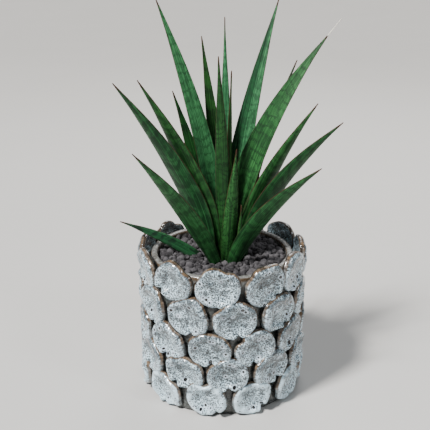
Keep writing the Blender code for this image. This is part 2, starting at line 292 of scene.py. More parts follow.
def glaze_finish():
    """Thick, pooling glaze: white and blue-grey with dense dark specks, open pinholes and brown edges."""
    f = Finish("speckled_glaze")
    flat = f.attribute("glaze")  # across and up the scale, each scale on a patch of its own
    rim, white, dense, high = f.number("rim"), f.number("white"), f.number("dense"), f.number("high")
    cloud = f.noise(flat, 0.009, 3.0)
    blotch = f.noise(flat, 0.0032, 3.0)
    fine = f.noise(flat, 0.0011, 2.0)

    # body of the glaze: greyer where it lies thin in the dish, whiter where it has run down and is thick;
    # whiter at the foot, where it pools and as a painted highlight on the lower lobes, and darker towards
    # the top as painted shade
    thick = f.add(f.mul(f.add(cloud, -0.5), 2.1), f.mul(f.add(blotch, -0.5), 1.5))
    foot_pool_and_highlight = f.mul(f.ease(high, 0.1, -0.7, 0.0, 0.40), f.ease(rim, 0.35, 0.75))
    # painted shade: each scale greyer towards its top
    run = f.add(foot_pool_and_highlight, f.ease(high, -0.2, 0.7, 0.0, -0.34))
    thick = f.add(f.add(thick, white), f.add(run, f.ease(rim, 0.30, 0.85, -0.16, 0.02)))
    body = f.mix(f.ease(thick, 0.06, 0.66), (0.135, 0.180, 0.205), (0.68, 0.89, 1.0))
    body = f.mix(f.ease(fine, 0.35, 0.65, 0.0, 0.25), body, (0.12, 0.14, 0.14))

    # dark specks, close together
    cell, tint = f.cells(flat, SPECK_SPACING), f.cells(flat, SPECK_SPACING, "Color")
    size = f.mul(f.split(tint, "X"), 0.12)
    speck = f.ease(f.add(cell, f.mul(size, -1.0)), 0.36, 0.26)
    dense = f.add(dense, f.ease(rim, 0.45, 0.85, 0.20, -0.10))
    where = f.ease(f.add(f.mul(f.noise(flat, 0.0065, 2.0), 1.1), dense), 0.60, 0.88)
    inner = f.ease(rim, 1.02, 0.97)
    speck = f.mul(f.mul(speck, where), inner)
    body = f.mix(f.mul(speck, f.ease(f.split(tint, "Y"), 0.0, 0.7, 0.75, 1.0)), body, (0.006, 0.007, 0.007))

    # small pinholes, scattered over the outer part, each in a pale ring
    far, pick = f.cells(flat, PINHOLE_SPACING), f.split(f.cells(flat, PINHOLE_SPACING, "Color"), "Y")
    chosen = f.mul(f.ease(pick, 0.80, 0.84), f.mul(f.ease(rim, 0.45, 0.60), f.ease(rim, 0.95, 0.90)))
    body = f.mix(f.mul(chosen, f.ease(far, 0.38, 0.22, 0.0, 0.6)), body, (0.70, 0.82, 0.92))
    small = f.mul(chosen, f.ease(far, 0.19, 0.12))
    body = f.mix(small, body, (0.012, 0.012, 0.012))

    # large open pinholes: millimetres across and up from the nearest one, and its radius
    pin, near = f.attribute("pin"), f.number("near")
    reach = f.math("SQRT", f.add(*[f.math("POWER", f.split(pin, part), 2.0) for part in "XY"]))
    ragged = f.mul(f.add(blotch, -0.5), 1.6)
    halo = f.ease(f.add(near, ragged), 3.0, 1.7)
    body = f.mix(f.mul(halo, 0.92), body, (0.72, 0.86, 0.98))
    hole = f.mul(f.ease(f.math("DIVIDE", reach, f.split(pin, "Z")), 1.75, 1.45), f.ease(near, 2.6, 2.4))
    body = f.mix(hole, body, (0.004, 0.004, 0.004))

    # a pale roll of thick glaze just inside the edge, with a painted highlight that grows towards the foot,
    # then iron breaking through along it, a dark line round the edge, strongest below, as painted shadow,
    # bare clay and the dark back
    waver = f.add(rim, f.mul(f.add(cloud, -0.5), 0.08))
    roll = f.mul(f.ease(waver, 0.80, 0.88), f.ease(waver, 0.97, 0.92))
    # painted highlight: the pale roll made stronger towards the foot of the scale
    body = f.mix(f.mul(roll, f.ease(high, 0.3, -0.5, 0.05, 0.50)), body, (0.70, 0.86, 1.0))
    rusty = f.ease(f.add(high, f.mul(f.add(f.noise(flat, 0.012), -0.5), 3.0)), -0.9, 0.5, 0.15, 1.0)
    tan = f.mix(f.ease(blotch, 0.35, 0.65), (0.060, 0.034, 0.015), (0.210, 0.115, 0.045))
    body = f.mix(f.mul(f.mul(f.ease(waver, 0.945, 0.975), rusty), 0.90), body, tan)
    # painted shadow: a dark line just inside the edge, strongest on the lower side and weaker where the
    # iron shows
    painted_edge_shadow = f.mul(f.ease(waver, 0.94, 0.99), f.ease(rusty, 0.0, 1.0, 0.92, 0.25))
    body = f.mix(painted_edge_shadow, body, (0.030, 0.030, 0.028))
    clay = f.mix(f.ease(blotch, 0.35, 0.65), (0.012, 0.011, 0.010), (0.060, 0.058, 0.052))
    body = f.mix(f.ease(waver, 1.03, 1.08), body, clay)
    back = f.mix(rusty, (0.018, 0.018, 0.017), (0.045, 0.024, 0.011))
    body = f.mix(f.ease(waver, 1.10, 1.17), body, back)

    f.set(Base_Color=body, Roughness=f.ease(f.add(cloud, f.mul(speck, 0.5)), 0.25, 1.2, 0.12, 0.34))
    f.set(Coat_Weight=1.0, Coat_Roughness=0.04, IOR=1.5)
    depth = f.add(f.mul(f.add(hole, small), -1.0), f.add(f.mul(halo, 0.3), f.mul(speck, -0.30)))
    depth = f.add(depth, f.add(f.mul(cloud, 1.6), f.mul(blotch, f.ease(rim, 0.5, 0.9, 0.6, 0.1))))
    f.set(Normal=f.bump(depth, 0.0017, 1.0))
    return f.material


def wall_finish():
    """The wall between the scales, grey-brown under runs of pale glaze, and its taupe, brown-edged lip."""
    f = Finish("wall_glaze")
    at = f.position()
    high = f.split(at, "Z")
    cloud = f.noise(at, 0.012, 4.0)
    fine = f.noise(at, 0.0026, 3.0)
    body = f.mix(f.ease(cloud, 0.35, 0.65), (0.016, 0.018, 0.016), (0.065, 0.071, 0.067))
    body = f.mix(f.ease(fine, 0.5, 0.75, 0.0, 0.5), body, (0.17, 0.18, 0.175))
    body = f.mix(f.ease(fine, 0.42, 0.30, 0.0, 0.8), body, (0.035, 0.032, 0.028))
    lip = f.mix(f.ease(cloud, 0.3, 0.7), (0.075, 0.068, 0.058), (0.20, 0.20, 0.19))
    lip = f.mix(f.ease(fine, 0.5, 0.75, 0.0, 0.6), lip, (0.42, 0.44, 0.43))
    lip = f.mix(f.ease(fine, 0.42, 0.28, 0.0, 0.75), lip, (0.05, 0.042, 0.032))
    body = f.mix(f.ease(f.add(high, f.mul(f.add(cloud, -0.5), 0.01)), 0.120, 0.130), body, lip)
    edge = f.ease(f.add(f.number("edge"), f.mul(f.add(cloud, -0.5), 0.7)), 0.62, 0.92)
    body = f.mix(f.mul(edge, 0.85), body, (0.095, 0.056, 0.026))
    f.set(Base_Color=body, Roughness=f.ease(fine, 0.3, 0.8, 0.20, 0.45))
    f.set(Coat_Weight=0.3, Coat_Roughness=0.12)
    f.set(Normal=f.bump(f.add(cloud, f.mul(fine, 0.35)), 0.0014, 0.8))
    return f.material


def soil_finish():
    """Dark crumbs, each a little lighter or darker than the next."""
    f = Finish("potting_soil")
    at = f.position()
    coarse, fine = f.noise(at, 0.0030, 4.0), f.noise(at, 0.0008, 3.0)
    pale = f.ease(f.add(coarse, f.mul(f.number("tone"), 0.5)), 0.35, 1.0)
    body = f.mix(pale, (0.0135, 0.0125, 0.0135), (0.090, 0.084, 0.088))
    body = f.mix(f.ease(fine, 0.55, 0.75, 0.0, 0.40), body, (0.10, 0.092, 0.098))
    f.set(Base_Color=body, Roughness=0.95, Specular_IOR_Level=0.15)
    f.set(Normal=f.bump(f.add(coarse, f.mul(fine, 0.6)), 0.0010, 0.9))
    return f.material


def leaf_finish():
    """Waxy leaf: fine lines along it, dark cross bands made of short dashes, a red-brown margin."""
    f = Finish("snake_plant_leaf")
    place = f.attribute("place")  # millimetres across, along from the foot, and left to the tip
    across, along, left = f.split(place, "X"), f.split(place, "Y"), f.split(place, "Z")
    tone, marks = f.attribute("tone"), f.attribute("marks")
    light, blue, painted_half_shade = f.split(tone, "X"), f.split(tone, "Y"), f.split(tone, "Z")
    lined, zoned, spacing = f.split(marks, "X"), f.split(marks, "Y"), f.split(marks, "Z")
    margin, own, awn = f.number("margin"), f.number("own"), f.number("awn")

    # noises drawn out along the leaf: dashes, hairlines, drifts and wide patches
    dash = f.noise(f.vector(f.mul(across, 0.95), f.mul(along, 0.14), own), 1.0, 2.0, 0.6)
    line = f.noise(f.vector(f.mul(across, 1.7), f.mul(along, 0.012), own), 1.0, 2.0, 0.65)
    drift = f.noise(f.vector(f.mul(across, 0.10), f.mul(along, 0.05), own), 1.0, 2.0)
    wide = f.noise(f.vector(f.mul(across, 0.06), f.mul(along, 0.032), f.add(own, 7.0)), 1.0, 2.0)

    # thin wavy cross lines, and between them broader dark zones with frayed edges
    bent = f.add(along, f.add(f.mul(drift, 20.0), f.mul(dash, 8.0)))
    wave = f.math("SINE", f.mul(f.math("DIVIDE", bent, spacing), 2 * math.pi))
    strip = f.mul(f.ease(f.add(wave, f.mul(dash, 0.7)), 0.62, 1.35), f.ease(drift, 0.35, 0.50, 0.35, 1.0))
    swell = f.math("SINE", f.mul(f.math("DIVIDE", f.add(along, f.mul(wide, 60.0)), spacing), 2.9))
    zone = f.ease(f.add(f.mul(swell, 0.9), f.mul(f.add(dash, -0.5), 1.8)), -0.15, 0.65)
    dark = f.math("MAXIMUM", f.mul(strip, lined), f.mul(zone, zoned))

    deep = f.mix(blue, (0.0025, 0.0130, 0.0022), (0.0018, 0.0125, 0.0055))
    middle = f.mix(blue, (0.0100, 0.0520, 0.0060), (0.0050, 0.0500, 0.0160))
    pale = f.mix(blue, (0.0400, 0.1580, 0.0180), (0.0460, 0.2000, 0.0780))
    # lightness: the leaf's own tone with painted shade on leaves deep in the fan, and painted shade over
    # one half of a channelled blade
    tone_and_painted_shade = f.add(light, f.mul(f.add(wide, -0.64), 0.7))
    tone_and_painted_shade = f.add(tone_and_painted_shade, f.mul(f.mul(painted_half_shade, f.ease(across, -1.5, 1.5, -1.0, 0.6)), 0.5))
    green = f.mix(f.ease(tone_and_painted_shade, 0.0, 1.0), middle, pale)
    green = f.mix(f.ease(dash, 0.40, 0.66, 0.0, 0.45), green, middle)
    green = f.mix(f.mul(dark, 0.88), green, deep)
    green = f.mix(f.ease(line, 0.53, 0.40, 0.0, 0.62), green, deep)
    green = f.mix(f.ease(line, 0.55, 0.68, 0.0, 0.32), green, pale)
    # towards the crown the blades darken: partly their own colour, partly painted shade deep in the rosette
    green = f.mix(f.ease(along, 75.0, 15.0, 0.0, 0.22), green, (0.0020, 0.0130, 0.0020))
    # thin hard margin, plain green at the crown
    rust = f.mix(f.noise(f.vector(along, own), 9.0), (0.018, 0.008, 0.004), (0.060, 0.024, 0.012))
    hard = f.mul(f.ease(margin, 0.50, 0.22, 0.0, 0.9), f.ease(along, 35.0, 90.0, 0.25, 1.0))
    green = f.mix(hard, green, rust)
    # brown tip and dry thread
    from_blade = f.add(left, f.mul(awn, -1.0))
    thread = f.mix(f.ease(awn, 5.0, 11.0), (0.060, 0.030, 0.016), (0.62, 0.59, 0.52))
    green = f.mix(f.ease(from_blade, 6.0, 0.5), green, (0.040, 0.018, 0.010))
    green = f.mix(f.ease(from_blade, 0.5, -1.5), green, thread)

    f.set(Base_Color=green, Roughness=f.ease(f.add(line, f.mul(dark, 0.3)), 0.3, 0.9, 0.40, 0.55))
    f.set(Specular_IOR_Level=0.20)
    f.set(Normal=f.bump(f.add(line, f.mul(dash, 0.4)), 0.0003, 0.8))
    return f.material


def rhizome_finish():
    f = Finish("rhizome_skin")
    patches = f.noise(f.position(), 0.004, 3.0)
    f.set(Base_Color=f.mix(patches, (0.30, 0.22, 0.11), (0.52, 0.42, 0.26)), Roughness=0.7)
    return f.material


def floor_finish():
    f = Finish("pale_floor")
    patches = f.noise(f.position(), 0.3)
    f.set(Base_Color=f.mix(patches, (0.53, 0.517, 0.495), (0.56, 0.547, 0.525)), Roughness=0.7)
    return f.material


# ---------------------------------------------------------------- leaves

# tone: how light, which is the leaf's own tone and, for leaves back in the fan such as 4, 5 and 11, painted
# shade; how blue; how much darker the left half is than the right, as painted shade across a channelled
# blade
# marks: strength of the cross lines, strength of the dark zones, spacing of the lines in millimetres
Look = namedtuple("Look", "tone marks")
LEAF_LOOKS = {
    1: Look((1.10, 0.80, 0.0), (0.62, 0.28, 9.0)),
    2: Look((0.40, 0.70, 0.0), (0.45, 0.72, 10.0)),
    3: Look((0.50, 0.40, 0.0), (0.50, 0.65, 7.0)),
    4: Look((0.00, 0.45, 0.0), (0.20, 0.90, 12.0)),
    5: Look((-0.20, 0.20, 0.0), (0.30, 1.00, 11.0)),
    6: Look((0.28, 0.35, 0.0), (1.00, 0.45, 6.0)),
    7: Look((1.10, 1.00, 0.0), (0.55, 0.25, 7.0)),
    8: Look((0.15, 0.10, 0.0), (0.55, 0.60, 10.0)),
    9: Look((0.60, 0.90, -1.3), (0.55, 0.45, 8.0)),
    10: Look((0.58, 0.50, 0.0), (0.75, 0.40, 9.0)),
    11: Look((-0.30, 0.30, 0.0), (0.40, 0.80, 10.0)),
    12: Look((0.60, 0.45, 0.0), (0.50, 0.60, 7.0)),
    13: Look((0.35, 0.60, 0.0), (0.40, 0.68, 8.0)),
    14: Look((0.50, 0.60, 0.0), (0.40, 0.62, 7.0)),
    15: Look((0.65, 0.60, 0.0), (0.45, 0.62, 8.0)),
    16: Look((0.30, 0.95, -0.4), (0.55, 1.00, 6.0)),
    17: Look((0.62, 0.40, 0.0), (1.00, 0.40, 4.6)),
    18: Look((0.60, 0.40, 0.0), (0.60, 0.40, 6.0)),
    19: Look((0.60, 0.40, 0.0), (0.60, 0.40, 6.0)),
}

# Length of the pale or brown end where it isn't the whole CAD thread, in millimetres
DRY_ENDS = {7: 5.0}

# Leaves whose blades are wider than the plain CAD leaf, by this share at most, and where along the blade
# that is and how far it reaches, as shares of the length
SPREADS = {2: 0.08, 3: 0.22, 4: 0.14, 9: 0.18, 10: 0.06, 12: 0.20}
SPREAD_AT, SPREAD_REACH = 0.35, 0.36


def cad_rings(obj):
    """The rings of a CAD leaf from its foot up, each in order round its edge, and the tip."""
    bm = bmesh.new()
    bm.from_mesh(obj.data)
    bmesh.ops.remove_doubles(bm, verts=bm.verts, dist=1e-6)
    tip = max(bm.verts, key=lambda vert: vert.co.z)
    seen, layer, layers = {tip}, [tip], []
    while layer:
        layer = list({edge.other_vert(vert) for vert in layer for edge in vert.link_edges} - seen)
        seen.update(layer)
        if layer:
            layers.append(layer)
    rings = []
    for layer in layers:
        members = set(layer)

        def beside(vert):
            found = []
            for edge in vert.link_edges:
                inside = [all(v in members for v in face.verts) for face in edge.link_faces]
                if edge.other_vert(vert) in members and not all(inside):
                    found.append(edge.other_vert(vert))
            return found

        order = [layer[0], beside(layer[0])[0]]
        while len(order) < len(layer):
            order.append(next(vert for vert in beside(order[-1]) if vert is not order[-2]))
        rings.append(np.array([vert.co[:] for vert in order]))
    top = np.array(tip.co[:])
    bm.free()
    return rings[::-1], top


def matched(ring, model):
    """ring, turned and reversed so that its points best follow the model ring's."""
    def shape(points):
        points = points - points.mean(0)
        return points / np.abs(points).max()

    best = None
    for sense in (1, -1):
        for shift in range(len(ring)):
            turned = np.roll(ring[::sense], shift, axis=0)
            miss = ((shape(turned) - shape(model)) ** 2).sum()
            if best is None or miss < best[0]:
                best = (miss, turned)
    return best[1]


def leaf_frames(obj):
    """For each CAD ring: middle, across and outward axes, half width, channel depth and half thickness."""
    rings, tip = cad_rings(obj)
    half = len(rings[0]) // 2
    start = len(rings) // 2
    ring = rings[start]
    spans = [np.linalg.norm(ring[i] - ring[i + half]) for i in range(half)]
    ring = np.roll(ring, -int(np.argmax(spans)), axis=0)
    rings[start] = ring
    for k in range(start + 1, len(rings)):
        rings[k] = matched(rings[k], rings[k - 1])
    for k in range(start - 1, -1, -1):
        rings[k] = matched(rings[k], rings[k + 1])
    rings = np.array(rings)
    low, high = rings[:, 0], rings[:, half]
    side_a, side_b = rings[:, half // 2], rings[:, half + half // 2]
    middle = (low + high) / 2
    bulge = (side_a + side_b) / 2 - middle
    along = np.gradient(middle, axis=0)
    across = unit(high - low)
    outward = unit(bulge[start])
    if np.dot(np.cross(unit(along[start]), outward), across[start]) < 0:
        low, high, across = high, low, -across
    if np.dot(side_a[start] - side_b[start], outward) < 0:
        side_a, side_b = side_b, side_a
    thick = (side_a - side_b) / 2
    away = unit(thick)
    width = np.linalg.norm(high - low, axis=1) / 2
    channel = (bulge * away).sum(1)
    return middle, across, away, width, channel, np.linalg.norm(thick, axis=1), tip


def leaf_mesh(shell, obj, number):
    """The CAD leaf read finely, with a channelled, faintly ridged section and a thread at the tip."""
    middle, across, away, width, channel, thick, tip = leaf_frames(obj)
    last = len(middle) - 1
    spread = np.linspace(0, 1, STATIONS)
    at = spread * last
    centre, width = spline(middle, at), np.clip(spline(width, at), LEAST_HALF_WIDTH, None)
    width = width * (1 + SPREADS.get(number, 0.0) * bell(spread - SPREAD_AT, SPREAD_REACH))
    channel, thick = spline(channel, at), spline(thick, at)
    across, away = unit(spline(across, at)), unit(spline(away, at))
    # the awn: a drawn-out end that narrows to the tip
    share = (np.arange(AWN_STEPS) + 1) / (AWN_STEPS + 1)
    ends = [np.repeat(row[-1:], AWN_STEPS, axis=0) for row in (across, away)]
    centre = np.vstack([centre, centre[-1] + (tip - centre[-1]) * share[:, None]])
    across, away = np.vstack([across, ends[0]]), np.vstack([away, ends[1]])
    shrink = 1 - 0.35 * share
    width = np.concatenate([width, width[-1] * shrink])
    thick = np.concatenate([thick, np.minimum(thick[-1], width[-1]) * shrink])
    channel = np.concatenate([channel, channel[-1] * (1 - share)])

    gone = np.concatenate([[0], np.cumsum(np.linalg.norm(np.diff(centre, axis=0), axis=1))])
    full = gone[-1] + np.linalg.norm(tip - centre[-1])
    awn = DRY_ENDS.get(number, np.linalg.norm(tip - middle[-1]) / MM)
    turn = 2 * math.pi * np.arange(AROUND) / AROUND
    a, side = -np.cos(turn), np.sign(np.sin(turn)) * np.abs(np.sin(turn)) ** 1.4
    points, place, margin = [], [], []
    rng = random.Random(number)
    phase = rng.uniform(0, 6)
    for k in range(len(centre)):
        bead = min(BEAD, thick[k] * 0.3)
        ripple = RIPPLE * np.sin(a * width[k] / MM * 2.2 + phase) * min(1.0, width[k] / 0.004)
        relief = bead * np.sqrt(1 - a**20) + ripple * (1 - a**8)
        x = a * width[k]
        y = channel[k] * (1 - a**2) + side * thick[k] + np.sign(side) * relief
        points.append(centre[k] + x[:, None] * across[k] + y[:, None] * away[k])
        along, left = np.full(AROUND, gone[k] / MM), np.full(AROUND, (full - gone[k]) / MM)
        place.append(np.column_stack([x / MM, along, left]))
        margin.append((1 - np.abs(a)) * width[k] / MM)
    rings = len(points)
    points = np.vstack(points + [centre[:1], tip[None]])
    place = np.vstack(place + [[[0, 0, full / MM]], [[0, full / MM, 0]]])
    margin = np.concatenate(margin + [[1.0], [0.0]])
    shell.add(
        points,
        tube_faces(rings, AROUND),
        place=place,
        margin=margin,
        tone=np.array(LEAF_LOOKS[number].tone, float),
        marks=np.array(LEAF_LOOKS[number].marks, float),
        own=np.full(len(points), number * 3.7),
        awn=np.full(len(points), awn),
    )


def make_leaves(nodes):
    finish = leaf_finish()
    for number in range(1, LEAF_COUNT + 1):
        name = f"leaf_{number:02d}"
        shell = Shell()
        leaf_mesh(shell, nodes[name], number)
        shell.build(f"{name}_blade", finish, "leaf", name)


# ---------------------------------------------------------------- pot


# The scales that face the viewer, by row and place in the row. Outline: degrees round the edge, share of
# the radius pressed in there (below zero, drawn out) and how many degrees wide. Pinholes: across and
# up as shares of the half width and half height, and radius in millimetres.
Mark = namedtuple("Mark", "outline pinholes")
SCALE_MARKS = {
    (1, 0): Mark(
        [(96, -0.07, 15), (66, 0.10, 13), (142, 0.09, 20), (20, -0.05, 25), (262, -0.05, 9)],
        [
            (-0.66, 0.42, 0.8), (0.2, 0.45, 0.6), (-0.48, -0.42, 0.8),
            (-0.36, -0.55, 0.6), (-0.6, -0.3, 0.5),
        ],
    ),
    (1, 1): Mark(
        [
            (100, -0.03, 15), (52, -0.08, 18), (135, 0.07, 18),
            (310, 0.12, 22), (255, -0.07, 14), (350, 0.05, 15),
        ],
        [(-0.08, 0.72, 0.8), (0.1, 0.74, 0.6), (0.66, 0.3, 1.0), (0.16, -0.36, 0.7), (-0.2, -0.78, 0.9)],
    ),
    (1, 2): Mark(
        [(110, -0.05, 20), (250, 0.08, 20)],
        [(0.4, -0.35, 1.0), (-0.2, -0.3, 0.7), (-0.1, -0.62, 0.6)],
    ),
    (1, 9): Mark([(60, 0.08, 20), (250, 0.10, 14)], [(0.1, -0.5, 0.7), (0.3, 0.5, 0.6)]),
    (1, 10): Mark(
        [
            (102, -0.10, 17), (58, 0.10, 14), (150, 0.05, 18),
            (225, 0.12, 22), (268, -0.10, 10), (320, 0.05, 20),
        ],
        [(-0.70, 0.39, 1.0), (-0.84, 0.10, 0.9), (-0.1, 0.72, 0.5)],
    ),
    (2, 0): Mark(
        [
            (84, -0.05, 16), (130, 0.10, 20), (166, -0.06, 16),
            (275, 0.16, 13), (320, 0.09, 18), (25, -0.05, 18),
        ],
        [(0.28, 0.66, 1.1), (0.4, 0.58, 0.8), (-0.5, 0.3, 0.7), (0.78, 0.2, 0.8), (-0.1, 0.3, 0.5)],
    ),
    (2, 1): Mark(
        [(125, 0.09, 20), (262, 0.08, 12), (60, -0.05, 18), (310, 0.10, 20)],
        [(0.5, 0.5, 1.1), (0.5, -0.15, 0.8), (-0.2, 0.1, 0.5)],
    ),
    (2, 2): Mark(
        [(90, -0.05, 20), (240, 0.06, 20)],
        [(0.2, 0.4, 1.0), (0.0, 0.1, 0.8), (0.1, -0.2, 0.7)],
    ),
    (2, 9): Mark(
        [(45, 0.08, 20), (280, 0.12, 13)],
        [(-0.1, -0.35, 0.9), (0.15, -0.6, 0.9), (0.3, -0.2, 0.5)],
    ),
    (2, 10): Mark(
        [
            (66, -0.11, 20), (112, 0.08, 16), (160, -0.04, 18),
            (278, 0.22, 13), (20, 0.05, 18), (312, -0.05, 15),
        ],
        [(-0.68, 0.38, 1.0), (0.16, 0.58, 1.2), (-0.17, 0.58, 0.8), (-0.4, 0.1, 0.5), (0.4, -0.5, 0.6)],
    ),
    (3, 0): Mark(
        [
            (75, 0.05, 20), (150, -0.05, 18), (272, 0.18, 12),
            (318, -0.09, 18), (35, 0.05, 16), (110, -0.03, 12),
        ],
        [
            (-0.6, 0.25, 1.0), (0.02, 0.62, 0.8), (0.16, 0.60, 0.6),
            (0.55, 0.4, 0.8), (0.02, -0.58, 1.1), (0.7, 0.0, 0.8),
        ],
    ),
    (3, 1): Mark(
        [(138, 0.18, 16), (75, -0.08, 20), (262, 0.14, 13), (185, -0.04, 20), (305, 0.07, 20)],
        [(0.28, 0.68, 0.8), (0.4, 0.5, 0.7), (0.15, 0.5, 0.6), (-0.65, 0.05, 0.8), (0.1, -0.5, 0.5)],
    ),
    (3, 2): Mark(
        [(120, 0.10, 18), (70, -0.05, 20), (250, 0.10, 14)],
        [(0.5, 0.3, 0.9), (0.0, -0.5, 1.2), (0.1, -0.3, 0.8)],
    ),
    (3, 9): Mark([(60, 0.05, 20), (270, 0.12, 14)], [(0.0, -0.3, 0.7), (0.2, 0.4, 0.6)]),
    (3, 10): Mark(
        [(104, -0.12, 16), (50, 0.17, 24), (320, -0.08, 20), (252, 0.12, 12), (170, 0.04, 20)],
        [
            (-0.62, 0.50, 0.9), (-0.25, 0.66, 1.0), (0.0, -0.62, 1.0),
            (-0.35, -0.5, 0.7), (0.3, -0.55, 0.6),
        ],
    ),
    (4, 0): Mark(
        [(116, 0.07, 16), (76, -0.07, 18), (266, 0.24, 13), (228, -0.05, 14), (312, -0.06, 14)],
        [(0.2, -0.55, 1.1), (0.7, 0.2, 0.7), (0.15, 0.68, 0.8), (-0.1, 0.0, 0.6), (0.3, 0.6, 0.5)],
    ),
    (4, 1): Mark(
        [(135, 0.08, 18), (80, -0.05, 20), (292, 0.17, 13), (215, -0.05, 18)],
        [(0.1, -0.35, 1.0), (-0.3, -0.5, 0.6), (0.4, 0.5, 0.5)],
    ),
    (4, 2): Mark(
        [(100, -0.06, 20), (270, 0.10, 15)],
        [(0.0, 0.0, 1.0), (0.1, 0.4, 0.6), (0.0, -0.4, 0.7)],
    ),
    (4, 9): Mark([(50, 0.10, 20), (250, 0.08, 15)], [(0.1, 0.0, 0.8), (0.3, -0.4, 0.7)]),
    (4, 10): Mark(
        [(112, 0.10, 15), (148, -0.06, 16), (60, 0.10, 22), (236, 0.16, 14), (325, -0.09, 20)],
        [(0.0, -0.42, 1.1), (0.0, 0.62, 0.8), (-0.55, 0.35, 0.5)],
    ),
    (5, 0): Mark(
        [
            (97, 0.13, 12), (65, -0.07, 15), (145, -0.04, 18),
            (266, -0.14, 9), (345, -0.07, 18), (305, 0.10, 20),
        ],
        [(0.0, -0.38, 0.8), (-0.2, -0.6, 0.8), (0.25, -0.45, 0.5)],
    ),
    (5, 1): Mark(
        [(35, -0.10, 18), (120, 0.06, 18), (322, 0.20, 24), (235, -0.06, 14)],
        [(0.48, -0.28, 1.0), (0.1, -0.5, 0.9), (-0.1, -0.6, 0.5)],
    ),
    (5, 2): Mark([(75, -0.08, 20), (150, 0.10, 22), (330, 0.12, 20)], [(0.1, -0.2, 0.7)]),
    (5, 9): Mark([(120, -0.05, 20), (300, 0.10, 20)], [(0.1, 0.1, 0.6)]),
    (5, 10): Mark(
        [(55, 0.16, 24), (135, -0.06, 20), (312, -0.12, 13), (262, 0.08, 16)],
        [(0.05, -0.28, 0.9), (0.2, -0.45, 0.6)],
    ),
}

# Section through a scale, from the middle of its face over its edge to the middle of its back: share of
# the way to the outline, height in millimetres over the mid plane, and what the glaze takes it for
SCALE_SECTION = [
    (0.05, -0.2, 0.05), (0.25, 0.0, 0.25), (0.45, 0.8, 0.45), (0.60, 2.1, 0.60), (0.72, 3.35, 0.72),
    (0.81, 3.75, 0.81), (0.885, 3.5, 0.885), (0.94, 2.7, 0.94), (0.978, 1.6, 0.978), (0.998, 0.4, 1.01),
    (1.0, -0.8, 1.08), (0.985, -1.9, 1.16), (0.95, -2.7, 1.0), (0.88, -3.2, 0.88), (0.76, -3.4, 0.76),
    (0.6, -3.4, 0.6),
]
SCALE_RINGS = 42


def scale_outline(width, tall, rng):
    """(across, up) of one scale's edge as the CAD part draws it, and where it is dented and pinched."""
    dent_at = rng.uniform(40, 140)
    dent = rng.uniform(0.03, 0.10)
    pinch_at = 270 + rng.uniform(-16, 16)
    skew = rng.uniform(-0.07, 0.07)
    turn = 2 * math.pi * np.arange(SCALE_AROUND) / SCALE_AROUND

    def rounded(part):
        return np.copysign(np.abs(part) ** 0.86, part) / 2

    up = rounded(np.sin(turn)) * tall
    outline = np.column_stack([rounded(np.cos(turn)) * width + up * skew, up])
    return outline, [(dent_at, dent, 23), (pinch_at, 0.10, 20)]


def scale_axes(height, start, index, rng):
    """Middle of a scale, its directions across, up and out of its face, and where it ends in the wall."""
    angle = start + 360.0 * index / SCALES_PER_ROW + rng.uniform(-1.5, 1.5)
    out, side = compass(angle), compass(angle + 90.0)
    lean = math.radians(SCALE_LEAN + rng.uniform(-3.0, 3.0))
    up = Vector((0, 0, math.cos(lean))) + out * math.sin(lean)
    face = out * math.cos(lean) - Vector((0, 0, math.sin(lean)))
    roll = math.radians(rng.uniform(-9.0, 9.0))
    side, up = side * math.cos(roll) + up * math.sin(roll), up * math.cos(roll) - side * math.sin(roll)
    middle = Vector((0, 0, height + rng.uniform(-0.001, 0.001)))
    centre, root = out * SCALE_CENTRE_RADIUS + middle, out * SCALE_ROOT_RADIUS + middle
    return [np.array(vector) for vector in (centre, side, up, face, root)]


def scale_relief(at, share, lift, outline, features, width, tall, own):
    """lift, in millimetres, with one scale's waves, lumps, hollows and the pinch at its foot."""
    count = len(outline)
    turn = 2 * math.pi * np.arange(count) / count
    front = lift > -0.5
    spots = np.column_stack([at.reshape(-1, 2), np.zeros(at.shape[0] * count)])
    seed = own.uniform(0, 50)
    crest = bell(share - 0.80, 0.20) * front
    waves = sum(own.uniform(-0.35, 0.35) * np.sin(k * turn + own.uniform(0, 6)) for k in (1, 2, 3, 5))
    lift = lift + crest * waves
    rough = lumps(spots, 0.011, seed) * 2.1 + lumps(spots, 0.0045, seed + 3) * 0.8
    lift = lift + rough.reshape(share.shape) * front * (1 - 0.7 * share**6)
    lift = lift + lumps(spots, 0.008, seed + 5).reshape(share.shape) * ~front * 0.6
    for deep, wide in ((own.uniform(0.5, 1.6), 0.0085), (own.uniform(0.4, 1.3), 0.0050)):
        spot = np.array([own.uniform(-0.25, 0.25) * width, own.uniform(-0.2, 0.2) * tall])
        lift = lift - deep * bell(np.linalg.norm(at - spot, axis=2), wide) * front
    # the pinch: a valley running up from the notch, between two soft lobes
    deepest = max(features, key=lambda item: item[1] if 200 < item[0] < 330 else -1)
    notch = outline[int(round(deepest[0] / 360 * count)) % count]
    inward = -notch / np.linalg.norm(notch)
    run = (at - notch) @ inward
    off = (at - notch) @ np.array([-inward[1], inward[0]])
    strength = 1.0 if deepest[1] > 0.05 else 0.55
    lift = lift - strength * 2.8 * bell(off, 0.0016 + 0.22 * np.clip(run, 0, 1)) * bell(run, 0.0095) * front
    lift = lift + strength * 1.3 * bell(np.abs(off) - 0.0050, 0.0026) * bell(run - 0.002, 0.0075) * front
    return lift


